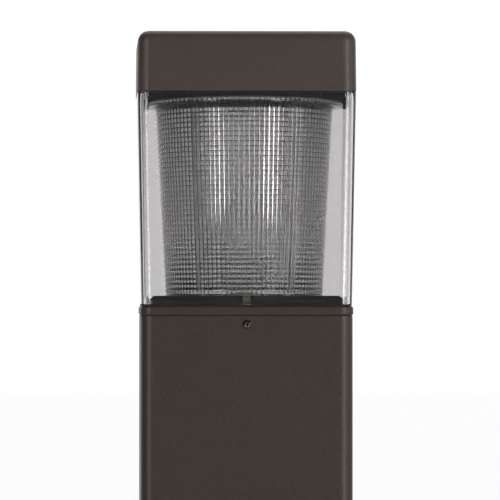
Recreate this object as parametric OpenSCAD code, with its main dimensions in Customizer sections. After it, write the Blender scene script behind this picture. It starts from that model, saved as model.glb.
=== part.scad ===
// Square bollard light: an extruded post with a lift-off head that carries a clear square lens,
// a round prismatic refractor and a cast cap, over a medium-screw discharge lamp and its control gear.
// Millimetres, +Z up, origin on the ground at the centre of the post.

/* [Overall] */
// Height from the ground to the top of the cap
overall_h = 1067; // [700:1:1300]

/* [Post] */
// Width across the flats of the extruded post
post_w = 203.2; // [170:0.1:260]
// Wall of the post
post_wall = 3.2; // [2.5:0.1:5]
// Radius of the post's upright corners
post_corner_r = 12; // [8:0.5:20]

/* [Collar] */
// Height of the visible bead of the collar
bead_h = 9.3; // [8:0.1:14]
// How far the bead stands proud of the post
bead_proud = 0.65; // [0.3:0.05:3]
// Round-over along the top of the bead
bead_top_r = 3.4; // [2:0.1:4]
// Round-over along the bottom of the bead
bead_bottom_r = 1.8; // [1:0.1:3]
// Thickness of the deck inside the collar
deck_t = 6; // [4:0.5:7]
// Radius of the opening that the lamp stands in
deck_hole_r = 45; // [32:1:48]
// How far the skirt reaches down into the post
skirt_drop = 22; // [16:1:40]
// Wall of the skirt
skirt_wall = 3; // [2.5:0.1:4]

/* [Lens] */
// Height of the lens that shows between collar and cap
lens_h = 205.5; // [150:0.5:260]
// How much wider the lens is at its top than at its bottom
lens_taper = 7.6; // [2:0.1:9]
// Wall of the lens
lens_wall = 4; // [3:0.1:5]
// Outer corner radius of the lens
lens_corner_r = 11.5; // [8:0.5:16]

/* [Refractor] */
// Outer radius of the refractor's body at its foot
refractor_foot_r = 76.2; // [68:0.1:78]
// Outer radius of the refractor's body under its flange
refractor_neck_r = 86.4; // [78:0.1:88]
// Outer radius of the refractor's flange
refractor_flange_r = 96.4; // [93:0.1:97]
// Wall of the refractor
refractor_wall = 5; // [4:0.1:8]
// Height of one ring prism
prism_pitch = 4.68; // [3.5:0.01:8]
// Depth of a ring prism
prism_depth = 1.1; // [0.5:0.1:2]

/* [Cap] */
// Height of the cap
cap_h = 57.5; // [45:0.5:80]
// How far the cap stands proud of the lens's top, each side
cap_proud = 0.2; // [0:0.1:2]
// Draft of the cap's sides, each side
cap_draft = 0.5; // [0:0.1:2]
// Wall of the cap
cap_wall = 3; // [2.5:0.1:4]
// Radius of the cap's upright corners
cap_corner_r = 12.5; // [11:0.5:20]
// Round-over along the cap's top edge
cap_edge_r = 10.5; // [6:0.5:11]

/* [Tie rods] */
// Half the spacing of the four tie rods
rod_half = 40; // [38:1:42]
// Diameter of a tie rod
rod_d = 6; // [5:0.5:8]

/* [Lamp] */
// Height of the lamp's contact above the deck's underside
lamp_seat_drop = 5; // [0:1:12]
// Length of the lamp from its contact to its crown
lamp_l = 138; // [120:1:140]
// Radius of the lamp's bulb
bulb_r = 27; // [20:0.5:29]

/* [Lock screws] */
// Distance of the lock screws below the post's top edge
lock_drop = 7.9; // [7.5:0.1:12]
// Diameter of a lock screw's head
lock_head_d = 8.4; // [7:0.1:10]
// Thread diameter of a lock screw
lock_d = 4.8; // [4:0.1:6]

/* [Anchor base] */
// Thickness of the base plate
base_t = 8; // [6:0.5:14]
// Height of the base's rim
base_rim_h = 34; // [26:1:60]
// Half the spacing of the four anchor holes
anchor_half = 52; // [48:0.5:56]
// Radius of an anchor hole
anchor_r = 7.15; // [5:0.05:8]
// Radius of the conduit opening
conduit_r = 38; // [25:1:38]

/* [Control gear] */
// Height of the ballast's centre above the ground
ballast_z = 300; // [220:1:330]
// Height of the capacitor's foot above the ground
capacitor_z = 410; // [400:1:430]
// Height of the ignitor's centre above the ground
ignitor_z = 640; // [620:1:660]

/* [Hidden] */
$fn = 64;
eps = 0.01;
hull_fn = 32;

// Clearances and gasket thicknesses
fit_gap = 0.6;
run_gap = 0.3;
thread_gap = 0.05;
seat_gasket_t = 0.9;
lens_gasket_t = 1;
cap_gasket_t = 0.8;
refractor_gasket_t = 1.2;

// Levels
cap_edge_z = overall_h - cap_h;
lens_seat_z = cap_edge_z - lens_h;
bead_z = lens_seat_z - bead_h;
post_h = bead_z - seat_gasket_t;
deck_z = lens_seat_z - deck_t;
skirt_z = post_h - skirt_drop;
lens_z = lens_seat_z + lens_gasket_t;
shoulder_z = cap_edge_z - cap_gasket_t;

// Post
post_in = post_w - 2 * post_wall;
post_in_r = post_corner_r - post_wall;

// Collar
bead_w = post_w + 2 * bead_proud;
bead_corner_r = post_corner_r + bead_proud;
lip_h = 2.8;
lip_t = 6.4;
lip_w = post_in - 2 * fit_gap;
skirt_w = lip_w - 2 * lip_t;
skirt_corner_r = 8;

// Lens: its foot is a little narrower than the bead
lens_setback = 1.25;
lens_bottom_w = bead_w - 2 * lens_setback;
lens_top_w = lens_bottom_w + lens_taper;
tongue_h = 7.3;
tongue_t = 2;
thicken_h = 9;

// Cap
cap_w = lens_top_w + 2 * cap_proud;
cap_in = cap_w - 2 * cap_wall;
tongue_w = cap_in - 0.8;

// Optic tray
tray_gap = 2.7;
tray_w = lens_bottom_w - 2 * lens_wall - 2 * tray_gap;
tray_corner_r = lens_corner_r - lens_wall;
tray_h = 9.4;
tray_upright_h = 5;
tray_chamfer = 5.4;
tray_rim_t = 11;
tray_floor_t = 2.5;
tray_hole_r = 48;
notch_r = 6.75;
notch_at = tray_w / 2 - tray_rim_t / 2;
tray_screw_r = 1.9;
tray_screw_head_r = 4;
tray_screw_head_h = 2.4;

// Top plate, hung under the cap's bosses
plate_drop = 4.4;
plate_t = 1.2;
plate_rim_h = 12;
plate_w = tongue_w - 2 * tongue_t - 2 * 0.9;
plate_z = cap_edge_z - plate_drop;

// Refractor
refractor_z = lens_seat_z + tray_floor_t + refractor_gasket_t;
refractor_h = plate_z - refractor_gasket_t - refractor_z;
refractor_foot_h = 9.3;
flange_t = 4;
flange_out = refractor_flange_r - refractor_neck_r;
flange_fillet_r = 5;
prism_n = floor((refractor_h - refractor_foot_h - flange_t - flange_fillet_r) / prism_pitch);
prism_base_z = refractor_h - flange_t - flange_fillet_r - prism_n * prism_pitch;

// Tie rods and their nuts
rod_r = rod_d / 2;
nut_af = rod_d * 10 / 6;
nut_h = rod_d * 5 / 6;
nut_r = nut_af / 2 / cos(30);
washer_t = 1.2;
washer_r = nut_r + 0.6;
rod_end = 3;
boss_r = rod_r + 5;
rod_grip = 18;
cap_bore_h = rod_grip + 2;

// Lamp and its holder
lamp_z = deck_z - lamp_seat_drop;
contact_h = 1;
insulator_h = 3;
screw_base_r = 12.9;
screw_base_h = 25;
skirt_h = 6;
neck_r = 14.2;
neck_h = 16;
bulb_wall = 0.9;
shell_in_r = screw_base_r + 0.5;
shell_t = 0.6;
holder_r = 20.5;
holder_foot_r = 25;
holder_foot_h = 8;
holder_drop = 29;
holder_h = 52;
holder_z = lamp_z - holder_drop;
cavity_r = shell_in_r + shell_t + 0.4;
cavity_floor_z = lamp_z - 9;
mouth_r = neck_r + 1.8;
mouth_h = 5;
bracket_t = 2;
bracket_z = holder_z - bracket_t;
bracket_w = 70;
bracket_front = 35;
bracket_flange = 8;
holder_screw_r = 1.9;
holder_screw_at = 17.5;
holder_bore_r = 4.2;

// Gear tray
gear_y = 62;
gear_t = 1.5;
gear_w = 90;
gear_flange = 15;
gear_foot = 20;
gear_top_gap = 4;
pad_h = 6;
foot_w = 60;
gear_z = base_t + pad_h;
gear_top_z = bracket_z - gear_top_gap;
bracket_tab_h = 30;
rail_in = 10;
rail_w = 15;
rail_t = 3;
rail_at = rail_in + rail_w / 2;
rail_low_z = base_rim_h + 20;
rail_top_z = gear_top_z - 3;
fixing_r = 2;
fixing_head_r = 3.8;
fixing_head_h = 2.4;

// Ballast: shell-type laminated core with two coils on its middle leg
core_w = 86;
core_h = 72;
core_t = 40;
leg_w = core_w / 3;
window_w = leg_w / 2;
core_y = 25;
coil_over = 13;
coil_gap = 0.3;
core_bolt_r = 2;
core_bolt_x = core_w / 2 - window_w / 2;
core_bolt_z = core_h / 2 - window_w / 2;
rail_fixing_zs = [rail_low_z + 70, (ballast_z + core_h / 2 + capacitor_z) / 2];

// Capacitor: oval can held to the tray by a strap
can_w = 60;
can_t = 38;
can_h = 100;
can_y = gear_y - can_t / 2 - 0.5;
strap_t = 1;
strap_h = 16;
strap_ear = 12;
can_lid = 1.2;
tab_foot = 2;
tab_h = 9;

// Leads
lead_d = 2.8;
lead_sides = 8;

// Ignitor and terminal block
ignitor_w = 46;
ignitor_h = 54;
ignitor_t = 30;
ignitor_stud_l = 5;
terminal_z = ignitor_z - 62;
terminal_w = 54;
terminal_h = 20;
terminal_t = 18;
terminal_ear_t = 4;
terminal_pole_n = 3;
pole_pitch = 11;
lug_x = gear_w / 2 - 12;
lug_y = gear_y - lead_d / 2 - 0.6;
lug_z = gear_z + 40;

// Lock screws: front and back, bearing on the skirt
lock_z = post_h - lock_drop;
lock_washer_t = 0.8;
lock_head_h = 2.4;
lock_nut_r = 4.4;
lock_nut_t = 4;
lock_reach = post_w / 2 - skirt_w / 2 - run_gap;
socket_af = 3;
socket_deep = 1.5;

// Base
base_w = post_in - 2 * fit_gap;
base_rim_t = 5;
base_screw_z = 20;
base_screw_r = 2.4;
base_boss_r = 7;
base_boss_l = 12;
base_head_r = 4.75;

// ---------- Shared shapes ----------

module rounded_square(w, r) {
    union() {
        square([w - 2 * r, w], center = true);
        square([w, w - 2 * r], center = true);
        for (x = [-1, 1], y = [-1, 1]) translate([x * (w / 2 - r), y * (w / 2 - r)]) circle(r);
    }
}

module square_ring(outer_w, outer_r, inner_w, inner_r, h) {
    linear_extrude(h) difference() {
        rounded_square(outer_w, outer_r);
        rounded_square(inner_w, inner_r);
    }
}

module stadium(w, t) {
    square([w - t, t], center = true);
    for (x = [-1, 1]) translate([x * (w - t) / 2, 0]) circle(t / 2);
}

// Four thin discs at the corners of a square, for a hull
module corner_discs(w, r, z) {
    for (x = [-1, 1], y = [-1, 1]) translate([x * (w / 2 - r), y * (w / 2 - r), z])
        cylinder(r = r, h = eps, $fn = hull_fn);
}

// A square shell between two levels, of different widths
module taper(w0, r0, z0, w1, r1, z1) {
    hull() {
        corner_discs(w0, r0, z0);
        corner_discs(w1, r1, z1 - eps);
    }
}

// Sweeps a profile (X outward from the corner's centre, Y up) round a square of corner centres
module frame_sweep(c) {
    for (i = [0:3]) rotate(90 * i) {
        translate([c, c, 0]) rotate([90, 0, 0]) linear_extrude(2 * c) children();
        translate([c, c, 0]) rotate_extrude(angle = 90) children();
    }
}

module at_corners(half) {
    for (x = [-1, 1], y = [-1, 1]) translate([x * half, y * half, 0]) children();
}

module on_sides(distance) {
    for (i = [0:3]) rotate(90 * i) translate([distance, 0, 0]) children();
}

// Button-head screw along +Z, its head's seat at z = 0 and its thread below
module button_screw(head_r, head_h, thread_r, thread_l, af, deep) {
    dome_r = (head_r * head_r + head_h * head_h) / (2 * head_h);
    difference() {
        union() {
            intersection() {
                translate([0, 0, head_h - dome_r]) sphere(dome_r);
                cylinder(r = head_r + 1, h = head_h + 1);
            }
            translate([0, 0, -thread_l]) cylinder(r = thread_r, h = thread_l + eps);
        }
        translate([0, 0, head_h - deep]) difference() {
            cylinder(r = af / 2 / cos(30), h = deep + 1, $fn = 6);
            translate([0, 0, -eps]) cylinder(r = af / 5, h = deep);
        }
    }
}

module hex_nut(r, h, bore_r) {
    difference() {
        cylinder(r = r, h = h, $fn = 6);
        translate([0, 0, -1]) cylinder(r = bore_r, h = h + 2);
    }
}

// ---------- Route sweeps for the leads ----------

function unit(v) = v / norm(v);
// Catmull-Rom point between p1 and p2
function spline(p0, p1, p2, p3, t) =
    0.5 * (2 * p1 + (p2 - p0) * t + (2 * p0 - 5 * p1 + 4 * p2 - p3) * t * t
    + (3 * p1 - p0 - 3 * p2 + p3) * t * t * t);
function smooth(route, steps) = let (n = len(route)) concat(
    [for (i = [0:n - 2], k = [0:steps - 1])
        spline(route[max(i - 1, 0)], route[i], route[i + 1], route[min(i + 2, n - 1)], k / steps)],
    [route[n - 1]]);
// The direction at each point; a lead leaves its ends square, as its route does
function tangents(path, route) = let (n = len(path), m = len(route)) concat(
    [unit(route[1] - route[0])],
    [for (i = [1:n - 2]) unit(path[i + 1] - path[i - 1])],
    [unit(route[m - 1] - route[m - 2])]);
function side_of(t, before) = unit(before - t * (before * t));
// The side vector at each point, carried along so that the tube doesn't twist
function sides(along, i = 0, before = [0.3, 0.4, 0.2]) = i == len(along) ? [] :
    let (s = side_of(along[i], before)) concat([s], sides(along, i + 1, s));

module lead(route, steps = 5) {
    path = smooth(route, steps);
    along = tangents(path, route);
    side = sides(along);
    n = len(path);
    points = [for (i = [0:n - 1]) let (s = side[i], u = cross(along[i], s))
        for (k = [0:lead_sides - 1]) let (a = 360 * k / lead_sides)
            path[i] + lead_d / 2 * (cos(a) * s + sin(a) * u)];
    walls = [for (i = [0:n - 2], k = [0:lead_sides - 1]) let (j = (k + 1) % lead_sides)
        [i * lead_sides + k, (i + 1) * lead_sides + k, (i + 1) * lead_sides + j, i * lead_sides + j]];
    ends = [
        [for (k = [0:lead_sides - 1]) k],
        [for (k = [lead_sides - 1:-1:0]) (n - 1) * lead_sides + k]
    ];
    polyhedron(points, concat(walls, ends));
}

// ---------- Post and base ----------

// Two angle rails welded up the back wall carry the gear tray
module tray_rails() for (x = [-1, 1]) scale([x, 1, 1]) translate([rail_in, gear_y + gear_t, rail_low_z]) {
    cube([rail_w, rail_t, rail_top_z - rail_low_z]);
    cube([rail_t, post_in / 2 - gear_y - gear_t + post_wall / 2, rail_top_z - rail_low_z]);
}

module post_tube() color("#3d3733") difference() {
    union() {
        square_ring(post_w, post_corner_r, post_in, post_in_r, post_h);
        tray_rails();
    }
    for (z = rail_fixing_zs) rail_screws_at(z) cylinder(r = fixing_r + thread_gap, h = 20, center = true);
    rail_screws_at(gear_top_z - bracket_tab_h / 2) cylinder(r = fixing_r + thread_gap, h = 20, center = true);
    for (side = [0, 180]) rotate(side) translate([0, 0, lock_z]) rotate([90, 0, 0])
        cylinder(r = lock_d / 2 + 0.2, h = post_w);
    on_sides(post_w / 2) translate([0, 0, base_screw_z]) rotate([0, 90, 0])
        cylinder(r = base_screw_r + 0.2, h = 4 * post_wall, center = true);
}

module anchor_base() color("#8d8f90") difference() {
    union() {
        linear_extrude(base_t) rounded_square(base_w, post_in_r);
        square_ring(base_w, post_in_r, base_w - 2 * base_rim_t, post_in_r - 4, base_rim_h);
        on_sides(base_w / 2 - base_boss_l) translate([0, 0, base_screw_z]) rotate([0, 90, 0])
            cylinder(r = base_boss_r, h = base_boss_l - 1);
        translate([-foot_w / 2, gear_y - gear_foot, 0]) cube([foot_w, gear_foot + gear_t, gear_z]);
    }
    translate([0, 0, -1]) {
        cylinder(r = conduit_r, h = gear_z + 2);
        at_corners(anchor_half) cylinder(r = anchor_r, h = gear_z + 2);
    }
    on_sides(base_w / 2) translate([-base_boss_l - 1, 0, base_screw_z]) rotate([0, 90, 0])
        cylinder(r = base_screw_r + thread_gap, h = base_boss_l + 2);
    foot_screws_at() translate([0, 0, -10]) cylinder(r = fixing_r + thread_gap, h = 20);
}

module foot_screws_at() {
    for (x = [-1, 1]) translate([x * foot_w / 4, gear_y - gear_foot / 2, gear_z]) children();
}

module base_screws() color("#3d3733") on_sides(post_w / 2) translate([0, 0, base_screw_z])
    rotate([0, 90, 0]) button_screw(base_head_r, 2.7, base_screw_r, post_wall + base_boss_l - 2, 3.2, 1.7);

// ---------- Control gear ----------

module on_tray_face(x, z) translate([x, gear_y, z]) rotate([90, 0, 0]) children();

module rail_screws_at(z) for (x = [-1, 1]) on_tray_face(x * rail_at, z) children();

module gear_holes() {
    for (z = rail_fixing_zs) rail_screws_at(z) cylinder(r = fixing_r + 0.2, h = 10, center = true);
    rail_screws_at(gear_top_z - bracket_tab_h / 2) cylinder(r = fixing_r + 0.2, h = 10, center = true);
    for (x = [-1, 1]) {
        for (z = [-1, 1]) on_tray_face(x * core_bolt_x, ballast_z + z * core_bolt_z)
            cylinder(r = core_bolt_r + 0.2, h = 10, center = true);
        on_tray_face(x * (can_w / 2 + strap_t + strap_ear / 2), capacitor_z + can_h / 2)
            cylinder(r = fixing_r + thread_gap, h = 10, center = true);
        on_tray_face(x * (terminal_w / 2 - 5), terminal_z)
            cylinder(r = fixing_r + thread_gap, h = 10, center = true);
    }
    on_tray_face(0, ignitor_z) cylinder(r = fixing_r + thread_gap, h = 10, center = true);
    on_tray_face(lug_x, lug_z) cylinder(r = fixing_r + thread_gap, h = 10, center = true);
}

module gear_tray() color("#b4b6b6") difference() {
    union() {
        translate([-gear_w / 2, gear_y, gear_z]) cube([gear_w, gear_t, gear_top_z - gear_z]);
        for (x = [-gear_w / 2, gear_w / 2 - gear_t])
            translate([x, gear_y, gear_z]) cube([gear_t, gear_flange, gear_top_z - gear_z]);
        translate([-foot_w / 2, gear_y - gear_foot, gear_z]) cube([foot_w, gear_foot + gear_t, gear_t]);
    }
    gear_holes();
    foot_screws_at() cylinder(r = fixing_r + 0.2, h = 20, center = true);
}

module tray_foot_screws() color("#a9abad") foot_screws_at() translate([0, 0, gear_t])
    button_screw(fixing_head_r, fixing_head_h, fixing_r, gear_t + 8, 2.5, 1.4);

module ballast_core() color("#5a5c5e") translate([0, core_y, ballast_z]) rotate([90, 0, 0]) difference() {
    translate([-core_w / 2, -core_h / 2, -core_t / 2]) cube([core_w, core_h, core_t]);
    for (x = [-1, 1]) translate([x * (leg_w / 2 + window_w / 2), 0, 0])
        cube([window_w, core_h - 2 * window_w, core_t + 2], center = true);
    for (x = [-1, 1], z = [-1, 1]) translate([x * core_bolt_x, z * core_bolt_z, 0])
        cylinder(r = core_bolt_r + 0.1, h = core_t + 2, center = true);
}

module coil(side) {
    window_h = core_h - 2 * window_w;
    coil_h = window_h / 2 - 2 * coil_gap;
    coil_x = leg_w + 2 * window_w - 2 * coil_gap;
    coil_y = core_t + 2 * coil_over;
    translate([0, core_y, ballast_z + side * (window_h / 4)]) difference() {
        translate([0, 0, -coil_h / 2]) linear_extrude(coil_h) {
            square([coil_x, core_t + 1], center = true);
            for (y = [-1, 1]) translate([0, y * (core_t / 2 + coil_over - 8)]) stadium(coil_x, 16);
        }
        cube([leg_w + 2 * coil_gap, core_t + 2 * coil_gap, coil_h + 2], center = true);
    }
}

module ballast_primary() color("#b9762f") coil(-1);
module ballast_secondary() color("#c98a45") coil(1);

module ballast_bolts() color("#a9abad") for (x = [-1, 1], z = [-1, 1])
    translate([x * core_bolt_x, 0, ballast_z + z * core_bolt_z]) rotate([90, 0, 0]) {
        front = core_y - core_t / 2;
        back = core_y + core_t / 2;
        // bolt, its head, the spacer to the tray and the nut behind it
        translate([0, 0, -gear_y - gear_t - 4])
            cylinder(r = core_bolt_r, h = gear_y + gear_t + 4 - front + eps);
        translate([0, 0, -front]) cylinder(r = 4, h = 2.8, $fn = 6);
        translate([0, 0, -gear_y]) difference() {
            cylinder(r = 4.5, h = gear_y - back);
            translate([0, 0, -1]) cylinder(r = core_bolt_r - eps, h = gear_y);
        }
        translate([0, 0, -gear_y - gear_t - 3.2]) cylinder(r = 4, h = 3.2, $fn = 6);
    }

module capacitor_can() color("#c9cbcc") translate([0, can_y, capacitor_z]) {
    linear_extrude(can_h) stadium(can_w, can_t);
    translate([0, 0, can_h - eps]) linear_extrude(can_lid + eps) stadium(can_w - 3, can_t - 3);
}

module capacitor_terminals() color("#d7cfae") for (x = [-1, 1])
    translate([x * 11, can_y, capacitor_z + can_h + can_lid]) {
        cylinder(r = 4.5, h = tab_foot);
        translate([-3.2, -0.4, tab_foot - eps]) cube([6.4, 0.8, tab_h + eps]);
    }

module capacitor_clamp() color("#b4b6b6") translate([0, 0, capacitor_z + (can_h - strap_h) / 2])
    difference() {
        linear_extrude(strap_h) difference() {
            union() {
                translate([0, can_y]) stadium(can_w + 2 * strap_t, can_t + 2 * strap_t);
                translate([-can_w / 2 - strap_t, can_y]) square([can_w + 2 * strap_t, gear_y - can_y]);
                translate([-can_w / 2 - strap_t - strap_ear, gear_y - strap_t])
                    square([can_w + 2 * strap_t + 2 * strap_ear, strap_t]);
            }
            translate([0, can_y]) stadium(can_w, can_t);
            translate([-can_w / 2, can_y]) square([can_w, gear_y - can_y + 1]);
        }
        for (x = [-1, 1]) translate([x * (can_w / 2 + strap_t + strap_ear / 2), gear_y, strap_h / 2])
            rotate([90, 0, 0]) cylinder(r = fixing_r + 0.2, h = 10, center = true);
    }

module ignitor() color("#2b2c2e") translate([0, gear_y, ignitor_z]) rotate([90, 0, 0]) difference() {
    union() {
        linear_extrude(ignitor_t) union() {
            square([ignitor_w, ignitor_h - 8], center = true);
            square([ignitor_w - 8, ignitor_h], center = true);
            for (x = [-1, 1], y = [-1, 1])
                translate([x * (ignitor_w / 2 - 4), y * (ignitor_h / 2 - 4)]) circle(4);
        }
        for (x = [-12, 0, 12]) translate([x, ignitor_h / 2 - 9, 0])
            cylinder(r = 2.6, h = ignitor_t + ignitor_stud_l);
    }
    translate([0, 0, -1]) cylinder(r = fixing_r + thread_gap, h = 12);
}

module terminal_block() color("#d8d6cc") translate([0, gear_y, terminal_z]) rotate([90, 0, 0]) difference() {
    union() {
        translate([-terminal_w / 2, -terminal_h / 2, 0]) cube([terminal_w, terminal_h, terminal_ear_t]);
        translate([-terminal_w / 2 + 10, -terminal_h / 2, 0]) cube([terminal_w - 20, terminal_h, terminal_t]);
    }
    for (i = [0:terminal_pole_n - 1]) translate([(i - 1) * pole_pitch, 0, 0]) {
        translate([0, 0, terminal_t - 5]) cylinder(r = 3, h = 6);
        translate([0, 0, 8]) rotate([90, 0, 0]) cylinder(r = 1.2, h = terminal_h + 2, center = true);
    }
    for (x = [-1, 1]) translate([x * (terminal_w / 2 - 5), 0, -1]) cylinder(r = fixing_r + 0.2, h = 8);
}

module terminal_screws() color("#c8b168") for (i = [0:terminal_pole_n - 1])
    translate([(i - 1) * pole_pitch, gear_y - terminal_t + 4.9, terminal_z]) rotate([90, 0, 0]) difference() {
        cylinder(r = 2.8, h = 2);
        translate([-3, -0.4, 1.2]) cube([6, 0.8, 2]);
    }

// Screws and nuts that hold the gear and the bracket to the tray
module gear_fixings() color("#a9abad") {
    for (x = [-1, 1]) {
        on_tray_face(x * (can_w / 2 + strap_t + strap_ear / 2), capacitor_z + can_h / 2)
            translate([0, 0, strap_t]) button_screw(fixing_head_r, fixing_head_h, fixing_r, 6, 2.5, 1.4);
        on_tray_face(x * (terminal_w / 2 - 5), terminal_z)
            translate([0, 0, terminal_ear_t])
                button_screw(fixing_head_r, fixing_head_h, fixing_r, terminal_ear_t + 1.3, 2.5, 1.4);
    }
    for (z = rail_fixing_zs) rail_screws_at(z)
        button_screw(fixing_head_r, fixing_head_h, fixing_r, gear_t + rail_t + 1, 2.5, 1.4);
    on_tray_face(0, ignitor_z) translate([0, 0, -gear_t]) rotate([180, 0, 0])
        button_screw(fixing_head_r, fixing_head_h, fixing_r, gear_t + 8, 2.5, 1.4);
}

module ground_lug() color("#4f8a4a") on_tray_face(lug_x, lug_z) {
    difference() {
        union() {
            cylinder(r = 5, h = 1);
            translate([-3, -14, 0]) cube([6, 14, 1]);
        }
        translate([0, 0, -1]) cylinder(r = fixing_r + 0.1, h = 4);
    }
    translate([0, -14 - 4, lead_d / 2 + 0.6]) rotate([-90, 0, 0]) difference() {
        cylinder(r = lead_d / 2 + 0.6, h = 6);
        translate([0, 0, -1]) cylinder(r = lead_d / 2 + thread_gap, h = 5);
    }
    translate([0, 0, 1]) button_screw(fixing_head_r, fixing_head_h, fixing_r, 6, 2.5, 1.4);
}

// ---------- Leads ----------

holder_terminal_z = holder_z + 14;
holder_terminal_x = holder_r - 6;
coil_y = core_y - core_t / 2 - coil_over;
post_y = gear_y - ignitor_t - ignitor_stud_l;
stud_z = ignitor_z + ignitor_h / 2 - 9;
pole_y = gear_y - 8;
pole_low_z = terminal_z - terminal_h / 2;
pole_top_z = terminal_z + terminal_h / 2;
tab_z = capacitor_z + can_h + can_lid + tab_foot + tab_h;

module lead_supply() color("#2a2a2c") lead([
    [-pole_pitch, pole_y, pole_low_z], [-pole_pitch, pole_y, pole_low_z - 7],
    [-28, 34, pole_low_z - 18], [-46, 34, capacitor_z + 80], [-46, 30, capacitor_z - 10],
    [-49, 12, ballast_z + 60], [-49, -4, ballast_z + 10], [-34, coil_y - 9, ballast_z - 6],
    [-18, coil_y - 7, ballast_z - 8], [-18, coil_y, ballast_z - 8]
]);

module lead_ballast() color("#2f55a8") lead([
    [-18, coil_y, ballast_z + 8], [-18, coil_y - 7, ballast_z + 8], [-34, coil_y - 4, ballast_z + 50],
    [-38, 4, capacitor_z], [-38, 8, capacitor_z + 70], [-34, 12, terminal_z - 20],
    [-16, 14, terminal_z + 30], [0, post_y - 9, stud_z - 8], [0, post_y - 7, stud_z], [0, post_y, stud_z]
]);

module lead_ignitor() color("#d8d6d0") lead([
    [12, post_y, stud_z], [12, post_y - 7, stud_z], [18, post_y - 9, stud_z - 30],
    [10, post_y - 4, pole_top_z + 26], [0, 42, pole_top_z + 15], [0, pole_y, pole_top_z + 8],
    [0, pole_y, pole_top_z]
]);

module lead_lamp_live() color("#1c1c1e") lead([
    [-12, post_y, stud_z], [-12, post_y - 7, stud_z], [-26, 12, stud_z + 22], [-40, 4, stud_z + 55],
    [-41, 0, holder_z - 10], [-37, 0, holder_terminal_z - 5], [-28, 0, holder_terminal_z],
    [-holder_terminal_x, 0, holder_terminal_z]
]);

module lead_lamp_neutral() color("#e4e2dc") lead([
    [pole_pitch, pole_y, pole_top_z], [pole_pitch, pole_y, pole_top_z + 7], [30, 40, pole_top_z + 18],
    [40, 24, ignitor_z], [42, 10, ignitor_z + 60], [41, 0, holder_z - 10],
    [37, 0, holder_terminal_z - 5], [28, 0, holder_terminal_z], [holder_terminal_x, 0, holder_terminal_z]
]);

module lead_ground() color("#3f8f46") lead([
    [lug_x, lug_y, lug_z - 18], [lug_x, lug_y - 4, lug_z - 26], [lug_x + 3, 44, lug_z - 20],
    [44, 32, lug_z + 26], [52, 30, 180], [53, 30, ballast_z], [53, 34, capacitor_z],
    [50, 36, capacitor_z + 70], [34, 34, tab_z + 4], [6, 40, pole_low_z - 16],
    [0, pole_y, pole_low_z - 8], [0, pole_y, pole_low_z]
]);

module leads_capacitor() color("#c23a2e") for (x = [-1, 1]) lead([
    [x * 11, can_y, tab_z], [x * 11, can_y, tab_z + 6], [x * 14, can_y - 14, tab_z + 10],
    [x * 18, can_y - 28, tab_z - 10], [x * 19, can_y - 32, capacitor_z + 60],
    [x * 18, can_y - 36, capacitor_z + 10], [x * 12, coil_y - 2, ballast_z + 50],
    [x * 8, coil_y - 7, ballast_z + 14], [x * 8, coil_y, ballast_z + 14]
]);

// ---------- Lampholder ----------

module holder_screws_at() {
    for (y = [-1, 1]) translate([0, y * holder_screw_at, holder_z]) children();
}

module lampholder_bracket() color("#b4b6b6") difference() {
    union() {
        translate([-bracket_w / 2, -bracket_front, bracket_z])
            cube([bracket_w, bracket_front + gear_y, bracket_t]);
        translate([-bracket_w / 2, gear_y - bracket_t, bracket_z - bracket_tab_h - gear_top_gap])
            cube([bracket_w, bracket_t, bracket_tab_h + gear_top_gap + eps]);
        for (x = [-bracket_w / 2, bracket_w / 2 - bracket_t])
            translate([x, -bracket_front, bracket_z - bracket_flange])
                cube([bracket_t, bracket_front + gear_y - 8, bracket_flange + eps]);
    }
    holder_screws_at() translate([0, 0, -10]) cylinder(r = holder_screw_r + 0.2, h = 20);
    rail_screws_at(gear_top_z - bracket_tab_h / 2) cylinder(r = fixing_r + 0.2, h = 10, center = true);
}

module bracket_screws() color("#a9abad") rail_screws_at(gear_top_z - bracket_tab_h / 2)
    translate([0, 0, bracket_t])
        button_screw(fixing_head_r, fixing_head_h, fixing_r, bracket_t + gear_t + rail_t + 1, 2.5, 1.4);

module lampholder_body() color("#ece9e0") difference() {
    translate([0, 0, holder_z]) rotate_extrude() polygon([
        [0, 0], [holder_foot_r, 0], [holder_foot_r, holder_foot_h - 2], [holder_foot_r - 2, holder_foot_h],
        [holder_r, holder_foot_h + 2], [holder_r, holder_h - 1.5], [holder_r - 1.5, holder_h], [0, holder_h]
    ]);
    translate([0, 0, cavity_floor_z]) cylinder(r = cavity_r, h = holder_h);
    translate([0, 0, holder_z + holder_h - mouth_h]) cylinder(r = mouth_r, h = mouth_h + 1);
    holder_screws_at() translate([0, 0, -1]) cylinder(r = holder_screw_r + thread_gap, h = 12);
    for (x = [-1, 1]) rotate([0, x * 90, 0]) translate([-x * holder_terminal_z, 0, holder_terminal_x - 2.4])
        cylinder(r = holder_bore_r, h = holder_r);
}

module lampholder_shell() color("#c9a94c") translate([0, 0, cavity_floor_z]) difference() {
    cylinder(r = shell_in_r + shell_t, h = holder_z + holder_h - mouth_h - cavity_floor_z - 0.5);
    translate([0, 0, shell_t]) cylinder(r = shell_in_r, h = holder_h);
    translate([0, 0, -1]) cylinder(r = 6, h = 4);
}

// Leaf spring of the middle contact and its rivet
module lampholder_contact() color("#d0b45c") {
    translate([0, 0, cavity_floor_z]) cylinder(r = 3, h = 3);
    translate([-2.5, -2.5, cavity_floor_z + 3 - eps]) cube([5, 12, 0.6]);
    translate([-2.5, -4, lamp_z - 0.6]) cube([5, 13.5, 0.6]);
    translate([-2.5, 8.9, cavity_floor_z + 3 - eps]) cube([5, 0.6, lamp_z - cavity_floor_z - 3]);
}

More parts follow.
